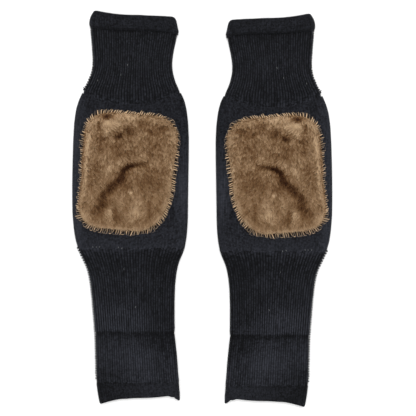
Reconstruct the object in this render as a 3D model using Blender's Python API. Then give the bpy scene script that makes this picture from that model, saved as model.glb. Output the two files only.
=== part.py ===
"""A pair of knitted knee warmers lying flat, each with a plush patch on the front of the knee.

Each warmer is a run of flattened knit tubes: a turned top band, a ribbed upper cuff, a plain
knee, a ribbed lower cuff and a plain bottom band. A domed plush patch lies on the knee.
The ground is at z = 0 and +Y runs up the warmers, towards the thigh. Every table below is for
the left warmer in its own frame. The right warmer is its mirror image, a little lower.
"""
from collections import namedtuple
from math import cos, exp, hypot, pi, radians, sin

import bmesh
import bpy
from mathutils import Vector

# Lengths here are in millimetres, and the finished meshes are in metres
MM = 0.001

# How the two warmers lie
CENTRE_SPACING = 146.3
STAGGER = 3.1

# The cloth, two layers deep with a slit between them
WALL = 2.0
BAND_WALL = 3.2
SLIT = 1.0
SEAM_GAP = 0.3
RIBS = 33
RIB_RAISE = 0.7

# The knee stands a little higher than the cuffs, in a low dome round a middle above its seam
KNEE_RAISE = 0.3
KNEE_DOME = 1.2
KNEE_DOME_MIDDLE = 34.0
KNEE_DOME_HALF_WIDTH = 59.0
KNEE_DOME_HALF_LENGTH = 84.0

# The plush patch
PILE = 4.6
FOLD_DEPTH = 1.7
FOLD_WIDTH = 5.5

# How finely each tube is cut into faces
PLAIN_COLUMNS = 22
UNDER_COLUMNS = 4
SIDE_STEPS = 4
INSIDE_ROW_STEP = 2
CORNER_STEPS = 7
STRAIGHT_STEPS = 5
WELD = 0.0001

# One row is a line across a warmer. Height is at its middle, the rises are how much higher it
# runs at its outer and inner edge, outer and inner are its reach from the centre line, and sink
# is how far its upper face lies below the piece's full height. All are in millimetres.
Row = namedtuple("Row", "height outer_rise inner_rise outer inner sink")

# Rows at the seams, shared by the pieces on both sides
BAND_SEAM = Row(180.1, 3.4, -2.7, 40.1, 47.9, 0.0)
KNEE_HEAD_SEAM = Row(105.5, 12.0, 12.0, 49.1, 51.2, 0.0)
KNEE_FOOT_SEAM = Row(-40.5, 0.0, 0.0, 53.5, 55.2, 0.0)
HEM_SEAM = Row(-177.7, 0.0, 0.0, 34.5, 49.5, 0.0)

TOP_BAND_ROWS = (
    Row(195.6, 4.6, -1.4, 35.3, 44.2, 1.8),
    Row(194.6, 4.4, -1.4, 37.6, 45.6, 0.7),
    Row(192.6, 4.0, -1.5, 39.5, 46.7, 0.0),
    Row(188.6, 3.4, -1.9, 41.2, 47.6, 0.0),
    Row(184.0, 3.3, -2.3, 41.8, 48.7, 0.0),
    Row(181.6, 3.4, -2.6, 41.6, 49.6, 0.5),
)
TOP_BAND_EDGE = BAND_SEAM._replace(outer=40.9, inner=49.2, sink=1.6)

UPPER_CUFF_ROWS = (
    Row(173.0, 1.5, -1.8, 39.5, 46.9, 0.0),
    Row(161.0, 0.3, -0.8, 38.4, 44.4, 0.0),
    Row(148.5, 0.3, 0.2, 37.7, 42.7, 0.0),
    Row(138.0, 2.0, 2.0, 38.5, 42.9, 0.0),
    Row(128.5, 4.4, 4.4, 41.2, 44.5, 0.0),
    Row(119.5, 7.4, 7.4, 43.6, 46.4, 0.0),
    Row(112.0, 10.2, 10.2, 46.4, 48.7, 0.0),
)
KNEE_ROWS = (
    Row(99.0, 11.2, 11.2, 52.4, 54.7, 0.0),
    Row(91.0, 9.2, 9.2, 55.4, 57.2, 0.0),
    Row(80.0, 6.6, 6.6, 57.3, 58.8, 0.0),
    Row(66.0, 4.0, 4.0, 58.2, 59.5, 0.0),
    Row(47.0, 1.6, 1.6, 58.9, 59.2, 0.0),
    Row(20.0, 0.0, 0.0, 59.2, 58.8, 0.0),
    Row(-6.0, 0.0, 0.0, 58.9, 58.6, 0.0),
    Row(-20.0, 0.0, 0.0, 57.8, 58.1, 0.0),
    Row(-31.0, 0.0, 0.0, 56.2, 57.0, 0.0),
)
# The row with a sink lies in the fold across the cuff
LOWER_CUFF_ROWS = (
    Row(-48.0, 0.0, 0.0, 49.9, 52.5, 0.0),
    Row(-55.5, 0.0, 0.0, 46.1, 49.3, 0.0),
    Row(-64.5, 0.0, 0.0, 42.6, 47.3, 0.0),
    Row(-78.0, 0.0, 0.0, 40.2, 45.7, 0.0),
    Row(-99.0, 0.0, 0.0, 38.1, 45.1, 0.0),
    Row(-122.6, -0.4, -0.4, 36.2, 45.1, 0.0),
    Row(-127.2, -0.8, -0.8, 35.8, 45.3, 0.9),
    Row(-131.8, -0.4, -0.4, 35.6, 45.6, 0.0),
    Row(-154.0, 0.0, 0.0, 35.0, 48.0, 0.0),
)
BOTTOM_BAND_ROWS = (
    Row(-185.0, -1.0, 0.8, 33.6, 49.9, 0.0),
    Row(-190.6, -4.6, 3.0, 32.0, 50.3, 0.0),
    Row(-192.6, -6.9, 4.2, 31.0, 50.4, 0.5),
)
# The hem hangs a little lower again in a short tongue at its inner corner
HEM_TONGUE = 6.2
HEM_TONGUE_WIDTH = 5.0
HEM_TONGUE_SLOPE = 3.0

# The patch has four soft corners. X and y place the corner of its straight sides, and the
# corner's curve starts and ends at the reach along the sides before and after it.
Corner = namedtuple("Corner", "x y reach_before reach_after")
PATCH_CORNERS = (
    Corner(-49.0, 102.9, 36.0, 32.0),
    Corner(53.2, 94.2, 26.0, 27.0),
    Corner(40.2, -30.9, 52.0, 36.0),
    Corner(-57.0, -21.6, 30.0, 24.0),
)
PATCH_CENTRE = (-4.0, 38.0)

# Rings of the patch from its middle: share of the outline, and share of the pile's height
PATCH_RINGS_ABOVE = (
    (0.0, 1.0),
    (0.16, 1.0),
    (0.32, 1.0),
    (0.48, 1.0),
    (0.64, 1.0),
    (0.80, 1.0),
    (0.915, 0.97),
    (0.97, 0.78),
    (1.0, 0.36),
)
PATCH_RINGS_BELOW = (
    (0.992, 0.0),
    (0.70, 0.0),
    (0.36, 0.0),
    (0.0, 0.0),
)
# The crease across the plush: points on its line, and how deep it is there
FOLD_LINE = (
    (20.0, 48.0, 0.25),
    (-3.0, 42.5, 1.0),
    (-14.0, 25.0, 0.85),
    (-28.0, 6.0, 0.6),
    (-38.0, -7.0, 0.1),
)

# Colours are linear
KNIT_COLOUR = (0.0165, 0.0172, 0.0208, 1.0)
PLUSH_COLOUR = (0.19, 0.112, 0.058, 1.0)


def clear_scene():
    for thing in list(bpy.data.objects):
        bpy.data.objects.remove(thing, do_unlink=True)


def cloth_material(name, colour, roughness, sheen):
    material = bpy.data.materials.new(name)
    material.use_nodes = True
    shader = material.node_tree.nodes["Principled BSDF"]
    shader.inputs["Base Color"].default_value = colour
    shader.inputs["Roughness"].default_value = roughness
    shader.inputs["Metallic"].default_value = 0.0
    shader.inputs["Sheen Weight"].default_value = sheen
    material.diffuse_color = colour
    return material


def knit_material(name):
    return cloth_material(name, KNIT_COLOUR, roughness=0.92, sheen=0.15)


def plush_material(name):
    return cloth_material(name, PLUSH_COLOUR, roughness=0.8, sheen=0.5)


def between(low, high, share):
    return low + (high - low) * share


def eased(share):
    """A smooth step from 0 to 1."""
    share = min(max(share, 0.0), 1.0)
    return share * share * (3.0 - 2.0 * share)


def shifted(row, rise):
    return row._replace(height=row.height + rise)


def row_line(row, x, tongue=0.0):
    """The y of a row at x: higher or lower at its edges by the row's rises."""
    middle = (row.inner - row.outer) / 2
    half = (row.inner + row.outer) / 2
    share = (x - middle) / half
    rise = row.inner_rise if share > 0 else row.outer_rise
    hang = eased((x - row.inner + HEM_TONGUE_WIDTH) / HEM_TONGUE_SLOPE)
    return row.height + rise * share * share - tongue * hang


def knee_top(x, y):
    """How much higher the knee's upper face is than the cuffs': a low dome, flat at its edges."""
    across = x / KNEE_DOME_HALF_WIDTH
    along = (y - KNEE_DOME_MIDDLE) / KNEE_DOME_HALF_LENGTH
    return KNEE_RAISE + KNEE_DOME * max(0.0, 1.0 - across ** 2 - along ** 2) ** 1.5


def plain_face(share, x, y):
    return 0.0


def ribbed_face(share, x, y):
    """Crest or valley of the ribs at a share of the width between the side folds."""
    return RIB_RAISE * (1.0 - cos(2 * pi * RIBS * share)) / 2


def knee_face(share, x, y):
    return knee_top(x, y)


def stadium(left, right, low, high, top_columns):
    """Points (x, z, share along the top or None) of a flattened ring, once round."""
    radius = (high - low) / 2
    level = (high + low) / 2
    ring = []
    for step in range(UNDER_COLUMNS + 1):
        ring.append((between(left + radius, right - radius, step / UNDER_COLUMNS), low, None))
    for step in range(1, SIDE_STEPS):
        angle = radians(-90 + 180 * step / SIDE_STEPS)
        ring.append((right - radius + radius * cos(angle), level + radius * sin(angle), None))
    for step in range(top_columns + 1):
        share = step / top_columns
        ring.append((between(right - radius, left + radius, share), high, share))
    for step in range(1, SIDE_STEPS):
        angle = radians(90 + 180 * step / SIDE_STEPS)
        ring.append((left + radius + radius * cos(angle), level + radius * sin(angle), None))
    return ring


def tube_ring(row, inset, high, columns, face, tongue):
    """Points once round a tube at a row, the inset in from its outline, with its upper face."""
    points = []
    for x, z, share in stadium(inset - row.outer, row.inner - inset, inset, high, columns):
        y = row_line(row, x, tongue)
        if share is not None:
            z += face(share, x, y)
        points.append(Vector((x, y, z)))
    return points


def wrap_sheet(bm, rings):
    """A grid of faces wrapped round on itself, with one of the rings of points in each row."""
    columns, rows = len(rings[0]), len(rings) - 1
    made = bmesh.ops.create_grid(bm, x_segments=columns, y_segments=rows, size=1.0)
    for vert in made["verts"]:
        column = round((vert.co.x + 1) / 2 * columns) % columns
        row = round((vert.co.y + 1) / 2 * rows)
        vert.co = rings[row][column]
    bmesh.ops.remove_doubles(bm, verts=made["verts"], dist=WELD)


def finish_piece(name, bm, side, material):
    """Places a piece of the left or right warmer and makes it an object in metres."""
    for vert in bm.verts:
        x, y, z = vert.co
        vert.co = (
            MM * side * (CENTRE_SPACING / 2 - x),
            MM * (y - side * STAGGER / 2),
            MM * z,
        )
    bmesh.ops.recalc_face_normals(bm, faces=bm.faces)
    if bm.calc_volume(signed=True) < 0:
        bmesh.ops.reverse_faces(bm, faces=bm.faces)
    mesh = bpy.data.meshes.new(name)
    bm.to_mesh(mesh)
    bm.free()
    mesh.shade_smooth()
    mesh.set_sharp_from_angle(angle=radians(40))
    mesh.materials.append(material)
    piece = bpy.data.objects.new(name, mesh)
    bpy.context.collection.objects.link(piece)
    return piece


def knit_tube(name, side, rows, wall=WALL, columns=PLAIN_COLUMNS, face=plain_face,
              inner_face=plain_face, tongue=0.0):
    """A flattened tube of cloth through the rows, open at both ends.

    Its faces run down the outside, in at the foot, up the inside and back to the start.
    """
    high = 2 * wall + SLIT
    tongues = {rows[-1]: tongue}
    outside = [
        tube_ring(row, 0.0, high - row.sink, columns, face, tongues.get(row, 0.0))
        for row in rows
    ]
    inside = [
        tube_ring(row, wall, high - wall, columns, inner_face, tongues.get(row, 0.0))
        for row in rows[:-1:INSIDE_ROW_STEP] + rows[-1:]
    ]
    bm = bmesh.new()
    wrap_sheet(bm, outside + inside[::-1] + outside[:1])
    return finish_piece(name, bm, side, knit_material(name + "_knit"))


def patch_outline():
    """Points round the patch: a curve at each corner and a straight run to the next."""
    corners = [Vector((corner.x, corner.y)) for corner in PATCH_CORNERS]
    curves = []
    for index, corner in enumerate(PATCH_CORNERS):
        tip = corners[index]
        before = corners[index - 1]
        after = corners[(index + 1) % len(corners)]
        start = tip + (before - tip).normalized() * corner.reach_before
        end = tip + (after - tip).normalized() * corner.reach_after
        steps = [step / CORNER_STEPS for step in range(CORNER_STEPS + 1)]
        curves.append([start.lerp(tip, t).lerp(tip.lerp(end, t), t) for t in steps])
    outline = []
    for index, curve in enumerate(curves):
        outline.extend(curve)
        start, end = curve[-1], curves[(index + 1) % len(curves)][0]
        steps = [step / STRAIGHT_STEPS for step in range(1, STRAIGHT_STEPS)]
        outline.extend(start.lerp(end, t) for t in steps)
    return outline


def fold_trough(x, y):
    """Depth of the crease across the plush at a point."""
    depth = 0.0
    for (ax, ay, a_deep), (bx, by, b_deep) in zip(FOLD_LINE, FOLD_LINE[1:]):
        run = ((x - ax) * (bx - ax) + (y - ay) * (by - ay)) / ((bx - ax) ** 2 + (by - ay) ** 2)
        run = min(max(run, 0.0), 1.0)
        away = hypot(x - between(ax, bx, run), y - between(ay, by, run))
        depth = max(depth, between(a_deep, b_deep, run) * exp(-((away / FOLD_WIDTH) ** 2)))
    return FOLD_DEPTH * depth


def plush_patch(name, side):
    """A closed pad: domed pile above, and below it the knee's own face, a seam gap up."""
    centre = Vector(PATCH_CENTRE)
    outline = patch_outline()
    rings = []
    for reach, rise in PATCH_RINGS_ABOVE + PATCH_RINGS_BELOW:
        ring = []
        for point in outline:
            x, y = centre.lerp(point, reach)
            base = 2 * WALL + SLIT + knee_top(x, y) + SEAM_GAP
            ring.append(Vector((x, y, base + rise * (PILE - fold_trough(x, y)))))
        rings.append(ring)
    bm = bmesh.new()
    wrap_sheet(bm, rings)
    return finish_piece(name, bm, side, plush_material(name + "_pile"))


def seamed(head, rows, foot):
    """The rows of a piece between two seams, each end held back by half of the seam's gap."""
    return (shifted(head, -SEAM_GAP / 2),) + rows + (shifted(foot, SEAM_GAP / 2),)


def warmer(prefix, side):
    knit_tube(
        prefix + "top_band", side,
        TOP_BAND_ROWS + (shifted(TOP_BAND_EDGE, SEAM_GAP / 2),), wall=BAND_WALL)
    knit_tube(
        prefix + "upper_cuff", side,
        seamed(BAND_SEAM, UPPER_CUFF_ROWS, KNEE_HEAD_SEAM),
        columns=2 * RIBS, face=ribbed_face)
    knit_tube(
        prefix + "knee", side,
        seamed(KNEE_HEAD_SEAM, KNEE_ROWS, KNEE_FOOT_SEAM),
        face=knee_face, inner_face=knee_face)
    knit_tube(
        prefix + "lower_cuff", side,
        seamed(KNEE_FOOT_SEAM, LOWER_CUFF_ROWS, HEM_SEAM),
        columns=2 * RIBS, face=ribbed_face)
    knit_tube(
        prefix + "bottom_band", side,
        (shifted(HEM_SEAM, -SEAM_GAP / 2),) + BOTTOM_BAND_ROWS, tongue=HEM_TONGUE)
    plush_patch(prefix + "plush_patch", side)


clear_scene()
warmer("left_", side=-1)
warmer("right_", side=1)
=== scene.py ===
"""The looks of a pair of knitted knee warmers that lie flat, each with a plush patch on the knee.

Each warmer has a frame of its own, in millimetres, with its middle at its knee's: x runs from the
outer side to the inner side, y runs up towards the thigh and z up from the floor.
"""
from collections import namedtuple
from math import pi, radians

import bmesh
import bpy
import numpy as np
from mathutils import Matrix, Vector
from mathutils.bvhtree import BVHTree


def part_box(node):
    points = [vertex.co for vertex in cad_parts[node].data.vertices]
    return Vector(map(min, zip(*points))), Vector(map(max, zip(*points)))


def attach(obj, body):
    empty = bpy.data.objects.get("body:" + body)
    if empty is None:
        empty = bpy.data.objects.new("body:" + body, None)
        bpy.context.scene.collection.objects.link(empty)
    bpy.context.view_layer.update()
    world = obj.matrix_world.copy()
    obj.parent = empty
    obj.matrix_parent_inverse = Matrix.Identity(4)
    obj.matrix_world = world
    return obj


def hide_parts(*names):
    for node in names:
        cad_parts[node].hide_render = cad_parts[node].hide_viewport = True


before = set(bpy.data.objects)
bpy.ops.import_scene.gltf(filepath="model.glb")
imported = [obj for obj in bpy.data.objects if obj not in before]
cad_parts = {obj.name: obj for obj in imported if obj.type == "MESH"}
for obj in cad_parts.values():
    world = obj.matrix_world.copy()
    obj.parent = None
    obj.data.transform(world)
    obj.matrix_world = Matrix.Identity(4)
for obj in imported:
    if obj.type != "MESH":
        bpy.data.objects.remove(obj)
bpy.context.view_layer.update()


# The camera hangs straight above the pair, about a metre up, and looks down without a tilt.
# A pixel of the picture is 1.0155 mm on the cloth, and the pair lies a little left of its middle.
PICTURE_SIDE = 416
PIXEL = 0.0010155
PAIR_MIDDLE_PIXEL = (202.25, 209.56)
CLOTH_LEVEL = 0.005
LENS = 85.0
SENSOR = 36.0


def add_object(name, data):
    """A new object in the scene."""
    thing = bpy.data.objects.new(name, data)
    bpy.context.scene.collection.objects.link(thing)
    return thing


camera = add_object("camera", bpy.data.cameras.new("camera"))
camera.data.lens = LENS
camera.data.sensor_width = SENSOR
camera.location = (
    (PICTURE_SIDE / 2 - PAIR_MIDDLE_PIXEL[0]) * PIXEL,
    (PAIR_MIDDLE_PIXEL[1] - PICTURE_SIDE / 2) * PIXEL,
    CLOTH_LEVEL + PICTURE_SIDE * PIXEL * LENS / SENSOR,
)
bpy.context.scene.camera = camera
bpy.context.scene.view_settings.view_transform = "Standard"


# The floor is a wide sheet of matt white paper. It lies a hair below the cloth, so that the
# undersides of the warmers don't share its face.
FLOOR_REACH = 8.0
FLOOR_DROP = 0.00005
PAPER = (0.90, 0.90, 0.90, 1.0)
PAPER_SHADE = (0.88, 0.88, 0.88, 1.0)


def add_node(tree, kind, inputs=(), **settings):
    """A shader node with its settings, and each input either linked or set."""
    node = tree.nodes.new(kind)
    for name, value in settings.items():
        setattr(node, name, value)
    for socket, value in dict(inputs).items():
        if isinstance(value, bpy.types.NodeSocket):
            tree.links.new(value, node.inputs[socket])
        else:
            node.inputs[socket].default_value = value
    return node


def math_node(tree, operation, *values):
    """The result of one step of arithmetic in a material."""
    return add_node(tree, "ShaderNodeMath", enumerate(values), operation=operation).outputs[0]


def blended(tree, share, low, high):
    """The colour between two others at a share."""
    node = add_node(tree, "ShaderNodeMix", {0: share, 6: low, 7: high}, data_type="RGBA")
    return node.outputs[2]


def noise(tree, vector, scale, detail=2.0):
    """Cloudy values round 0.5, finer with a larger scale."""
    node = add_node(
        tree, "ShaderNodeTexNoise", {"Vector": vector, "Scale": scale, "Detail": detail})
    return node.outputs["Fac"]


def object_place(tree):
    """The place on a piece, in metres."""
    return add_node(tree, "ShaderNodeTexCoord").outputs["Object"]


def new_material(name, roughness, sheen=0.0, sheen_roughness=0.5, sheen_tint=None, specular=0.5):
    """A material, its node tree and its shader, with the constant numbers on the shader."""
    material = bpy.data.materials.new(name)
    material.use_nodes = True
    shader = material.node_tree.nodes["Principled BSDF"]
    shader.inputs["Roughness"].default_value = roughness
    shader.inputs["Sheen Weight"].default_value = sheen
    shader.inputs["Sheen Roughness"].default_value = sheen_roughness
    shader.inputs["Sheen Tint"].default_value = sheen_tint or (1.0, 1.0, 1.0, 1.0)
    shader.inputs["Specular IOR Level"].default_value = specular
    return material, material.node_tree, shader


def floor_paper():
    """Matt paper with a very faint cloud in its white."""
    material, tree, shader = new_material("floor_paper", roughness=0.9, specular=0.2)
    cloud = noise(tree, object_place(tree), scale=0.7)
    tree.links.new(blended(tree, cloud, PAPER, PAPER_SHADE), shader.inputs["Base Color"])
    return material


def finished_mesh(bm, name):
    """A new mesh with the shape of a bmesh, which is freed."""
    mesh = bpy.data.meshes.new(name)
    bm.to_mesh(mesh)
    bm.free()
    return mesh


bm = bmesh.new()
bmesh.ops.create_grid(bm, x_segments=1, y_segments=1, size=FLOOR_REACH)
bmesh.ops.translate(bm, verts=bm.verts, vec=(0.0, 0.0, -FLOOR_DROP))
floor_mesh = finished_mesh(bm, "floor")
floor_mesh.materials.append(floor_paper())
floor = add_object("floor", floor_mesh)


# The light is that of a white studio tent, with one large soft lamp beyond the top bands
# that rakes down the warmers, and a weaker one across from it.
TENT_LIGHT = 1.05
TENT_COLOUR = (1.0, 1.0, 1.0, 1.0)
Lamp = namedtuple("Lamp", "name place size power")
LAMPS = (
    Lamp("key_lamp", (0.15, 0.75, 1.6), 0.8, 14.0),
    Lamp("fill_lamp", (-0.9, -0.5, 1.4), 1.2, 4.0),
)

world = bpy.data.worlds.new("studio_tent")
world.use_nodes = True
world.node_tree.nodes["Background"].inputs["Color"].default_value = TENT_COLOUR
world.node_tree.nodes["Background"].inputs["Strength"].default_value = TENT_LIGHT
bpy.context.scene.world = world
for lamp in LAMPS:
    light = bpy.data.lights.new(lamp.name, "AREA")
    light.shape = "SQUARE"
    light.size = lamp.size
    light.energy = lamp.power
    stand = add_object(lamp.name, light)
    stand.location = lamp.place
    stand.rotation_euler = Vector(lamp.place).to_track_quat("Z", "Y").to_euler()


# The top band is the turned welt round the thigh opening: the plain knit is folded over itself,
# so it is twice as thick as the rib below it, with a rounded fold at its head and a proud foot.
MM = 0.001
Warmer = namedtuple("Warmer", "prefix side x y")
Tube = namedtuple("Tube", "xs head foot ys outer inner")
Cloth = namedtuple("Cloth", "thickness wall")
Ring = namedtuple("Ring", "angle share wale")

SINGLE = Cloth(thickness=5.0, wall=2.0)
DOUBLE = Cloth(thickness=7.4, wall=3.2)

# A CAD node is read by rays from beyond it, a line of them to each side. A facing is how squarely
# a face has to stand across a ray to count as the end or the side of a tube.
RAY_START = 300.0
LINE_STEP = 0.5
LIP_RAY = 0.8
END_FACING = 0.8
BAND_HEAD_FACING = 0.95
SIDE_FACING = 0.44
BAND_EASING = 0.8
TUCK_TAPER = 8.0
SETTLING_ROUNDS = 5

# The band's own form, the swell of cloth laid down by hand, and the knit's count of stitches.
BAND_GRID = dict(top=120, side=14, under=20)
BAND_ROWS = 20
BAND_INSIDE_ROWS = 5
BAND_HEAD_LIP = 1.6
BAND_FOOT_LIP = 1.3
BAND_BULGE = 0.5
BAND_DRAW = 0.35
BAND_SAG = 2.2
CORNER_SAG_WIDTH = 7.0
LIP_STEPS = 5
LONG_SWELL = 0.22
SHORT_SWELL = 0.10
BAND_SWELL = 1.2
PLAIN_WALES = 66
SIDE_WALES = 6
COURSE = 1.28
WELD = 0.000001
SHARP_END = radians(70.0)

# The painted light and shade of all the knit run on one scale, from about -1, dark, to 1, pale.
# The rest is how its stitches are formed, how unevenly they lie, and how much painted shade
# darkens the valleys between the wales.
YARN = (0.0345, 0.0368, 0.0473, 1.0)
# The darkest colour stands for yarn deep in painted shade.
YARN_IN_SHADE = (0.0012, 0.0013, 0.0017, 1.0)
YARN_SHEEN = (0.72, 0.76, 0.85, 1.0)
SHADE_BASE = 0.17
SHADE_GAIN = 0.4
STITCH_SHADE = 0.45
STITCH_SLANT = 0.9
LEG_ROUNDNESS = 0.6
LOOP_ROUNDNESS = 0.7
FIBRE_HEIGHT = 0.30
WALE_WANDER = 0.25
COURSE_WANDER = 0.5
STREAK_STRETCH = 0.07
CREST_SHARE = 0.77
BROAD_VALLEY_SHADE = 1.2
FINE_VALLEY_SHADE = 0.95
LEAST_VALLEY_SHADE = -0.1
INNER_FOLD_SHADE = 0.4
INNER_FOLD_WIDTH = 2.4
BAND_TONE = -0.28
BAND_FOOT_SHADOW = 0.45


def warmer_of(prefix, side):
    """A warmer whose middle is its knee's, with the side on which it lies."""
    low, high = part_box(prefix + "knee")
    return Warmer(prefix, side, (low.x + high.x) / 2, (low.y + high.y) / 2)


WARMERS = (warmer_of("left_", -1), warmer_of("right_", 1))


def vertex_places(mesh):
    """The places of a mesh's vertices, as an array."""
    places = np.empty(3 * len(mesh.vertices))
    mesh.vertices.foreach_get("co", places)
    return places.reshape(-1, 3)


def to_own(warmer, points):
    """Places in metres to a warmer's own frame."""
    shifted = (points - np.array([warmer.x, warmer.y, 0.0])) / MM
    return shifted * np.array([-warmer.side, 1.0, 1.0])


def to_world(warmer, points):
    """Places in a warmer's own frame to metres."""
    return points * np.array([-warmer.side, 1.0, 1.0]) * MM + np.array([warmer.x, warmer.y, 0.0])


def own_tree(warmer, node):
    """A CAD node in its warmer's own frame, ready for rays."""
    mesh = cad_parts[warmer.prefix + node].data
    points = to_own(warmer, vertex_places(mesh))
    return BVHTree.FromPolygons(points.tolist(), [tuple(face.vertices) for face in mesh.polygons])


def own_box(warmer, node):
    """Two opposite corners of a CAD node's box, in its warmer's own frame."""
    low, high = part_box(warmer.prefix + node)
    return to_own(warmer, np.array([tuple(low), tuple(high)]))


def ramp(value, start, length):
    """A smooth step from 0 at a start to 1 a length further on, or further back below 0."""
    share = np.clip((value - start) / length, 0.0, 1.0)
    return share * share * (3.0 - 2.0 * share)


def bell(value, middle, half_width, power=2):
    """A smooth bump that is 1 at its middle."""
    return np.exp(-((value - middle) / half_width) ** power)


def smoothed(values, spread):
    """A line of values with its corners eased over a spread, given in steps of the line."""
    reach = int(3 * spread) + 1
    weights = np.exp(-0.5 * (np.arange(-reach, reach + 1) / spread) ** 2)
    padded = np.pad(values, reach, mode="reflect", reflect_type="odd")
    return np.convolve(padded, weights / weights.sum(), mode="valid")


def end_line(warmer, node, cloth, xs, heading, facing=END_FACING):
    """The y at which a tube ends at each x: its foot for heading 1 and its head for -1."""
    tree = own_tree(warmer, node)
    level = cloth.thickness - cloth.wall + LIP_RAY
    places, heights = [], []
    for x in xs:
        hit, normal = tree.ray_cast((x, -heading * RAY_START, level), (0.0, heading, 0.0))[:2]
        if hit is not None and abs(normal.y) > facing:
            places.append(x)
            heights.append(hit.y)
    return np.interp(xs, places, heights)


def side_line(warmer, node, cloth, ys, heading):
    """The reach of a tube's side at each y: its outer side for heading 1, its inner for -1."""
    tree = own_tree(warmer, node)
    reaches, heights = [], []
    for y in ys:
        start = (-heading * RAY_START, y, cloth.thickness / 2)
        hit, normal = tree.ray_cast(start, (heading, 0.0, 0.0))[:2]
        if hit is not None and abs(normal.x) > SIDE_FACING and heading * hit.x < 0:
            reaches.append(-heading * hit.x)
            heights.append(y)
    return np.interp(ys, heights, reaches)


def read_tube(
        warmer, node, cloth, easing, above=None, below=None, facing=END_FACING,
        outer_tuck=0.0, inner_tuck=0.0, head_rise=0.0, head_sag=0.0, foot_sag=0.0):
    """A tube's outline, read from its CAD node. It meets a neighbour in the middle of their gap.

    A tuck draws a side of it in, the head's rise runs on into the seam at its outer corner, and
    a sag lowers an end of it at its inner corner.
    """
    ends = own_box(warmer, node)
    xs = np.arange(ends[:, 0].min(), ends[:, 0].max() + LINE_STEP, LINE_STEP)
    ys = np.arange(ends[:, 1].min() + LINE_STEP / 2, ends[:, 1].max(), LINE_STEP)
    head = end_line(warmer, node, cloth, xs, heading=-1, facing=facing)
    foot = end_line(warmer, node, cloth, xs, heading=1)
    if above:
        head = (head + end_line(warmer, above[0], above[1], xs, heading=1)) / 2
    if below:
        foot = (foot + end_line(warmer, below[0], below[1], xs, heading=-1)) / 2
    spread = easing / LINE_STEP
    corner = bell(xs, xs[-1], CORNER_SAG_WIDTH)
    seam = bell(xs, xs[0], CORNER_SAG_WIDTH)
    head = smoothed(head, spread) + head_rise * seam - head_sag * corner
    foot = smoothed(foot, spread) - foot_sag * corner
    tucked = ramp(np.minimum(ys - ys[0], ys[-1] - ys), 0.0, TUCK_TAPER)
    outer = side_line(warmer, node, cloth, ys, heading=1) - outer_tuck
    inner = side_line(warmer, node, cloth, ys, heading=-1) - inner_tuck * tucked
    return Tube(xs, head, foot, ys, smoothed(outer, spread), smoothed(inner, spread))


def tube_ring(top, side, under, wales, side_wales):
    """The columns once round a flattened tube, from the middle of its underside.

    The angle is 90 degrees on the top, -90 under it and turns round the two side folds. The
    share runs from the outer fold to the inner one, and wales count from the top's inner end.
    """
    half = under // 2
    turn = np.arange(side) / side
    wales_under = wales / 2
    angle = np.concatenate([
        np.full(half, -90.0), -90.0 + 180.0 * turn, np.full(top, 90.0), 90.0 + 180.0 * turn,
        np.full(half, 270.0), [270.0],
    ])
    share = np.concatenate([
        0.5 + 0.5 * np.arange(half) / half, np.ones(side), 1.0 - np.arange(top) / top,
        np.zeros(side), 0.5 * np.arange(half) / half, [0.5],
    ])
    wale = np.concatenate([
        -side_wales - wales_under * (1.0 - np.arange(half) / half),
        -side_wales * (1.0 - turn),
        wales * np.arange(top) / top,
        wales + side_wales * turn,
        wales + side_wales + wales_under * np.arange(half) / half,
        [wales + side_wales + wales_under],
    ])
    return Ring(np.radians(angle), share, wale)


def tube_rows(cloth, rows, inside_rows, head_lip=0.0, foot_lip=0.0, foot_corner=0.0):
    """Rows down a tube's outside, round its foot, up its inside and round its head.

    Each has its share of the way down, its inset into the wall and its shift along y. A lip is
    the radius of a fully rounded end, and a corner that of an end rounded on its outside only.
    """
    down = np.linspace(0.0, 1.0, rows + 1)
    up = np.linspace(1.0, 0.0, inside_rows + 1)
    bend = np.linspace(0.0, pi, 2 * LIP_STEPS + 1)[1:-1]
    corner = np.linspace(0.0, pi / 2, LIP_STEPS + 1)[1:]
    table = [np.stack([down, 0.0 * down, 0.0 * down], 1)]
    if foot_lip:
        table.append(np.stack([
            1.0 + 0.0 * bend, cloth.wall / 2 * (1.0 - np.cos(bend)), -foot_lip * np.sin(bend)], 1))
    if foot_corner:
        table.append(np.stack([
            1.0 + 0.0 * corner, foot_corner * (1.0 - np.cos(corner)),
            -foot_corner * np.sin(corner)], 1))
    shifts = -foot_corner * np.concatenate([[1.0], np.zeros(inside_rows)])
    table.append(np.stack([up, cloth.wall + 0.0 * up, shifts], 1))
    if head_lip:
        table.append(np.stack([
            0.0 * bend, cloth.wall / 2 * (1.0 + np.cos(bend)), head_lip * np.sin(bend)], 1))
    return np.concatenate(table), head_lip, foot_lip or foot_corner


def tube_places(tube, cloth, ring, rows, relief):
    """The places of all rows and columns of a tube, as an array of rows of columns.

    Relief gives how far the cloth stands out at x, y, its wale and its share of the way down.
    Each place's x hangs on its y and the other way round, so the two settle in a few rounds.
    """
    table, head_lip, foot_lip = rows
    down, inset, shift = (column[:, None] for column in table.T)
    radius = cloth.thickness / 2 - inset
    y = np.full((len(table), len(ring.angle)), float(tube.ys.mean()))
    for _ in range(SETTLING_ROUNDS):
        outer = np.interp(y, tube.ys, tube.outer)
        inner = np.interp(y, tube.ys, tube.inner)
        flat = outer + inner - 2 * inset - 2 * radius
        x = inset + radius * (1.0 + np.cos(ring.angle)) + flat * ring.share - outer
        head = np.interp(x, tube.xs, tube.head) - head_lip
        foot = np.interp(x, tube.xs, tube.foot) + foot_lip
        y = head + (foot - head) * down + shift
    rise = (1.0 + np.sin(ring.angle)) / 2
    stand = relief(x, y, ring.wale, down) * rise * (1.0 - np.clip(inset / cloth.wall, 0.0, 1.0))
    x = x + stand * np.cos(ring.angle)
    z = inset + 2 * radius * rise + stand * np.sin(ring.angle)
    return np.stack([x, y, z], 2)


def item_numbers(items, name):
    """A whole number of each item of a mesh, as an array."""
    numbers = np.empty(len(items), int)
    items.foreach_get(name, numbers)
    return numbers


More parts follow.
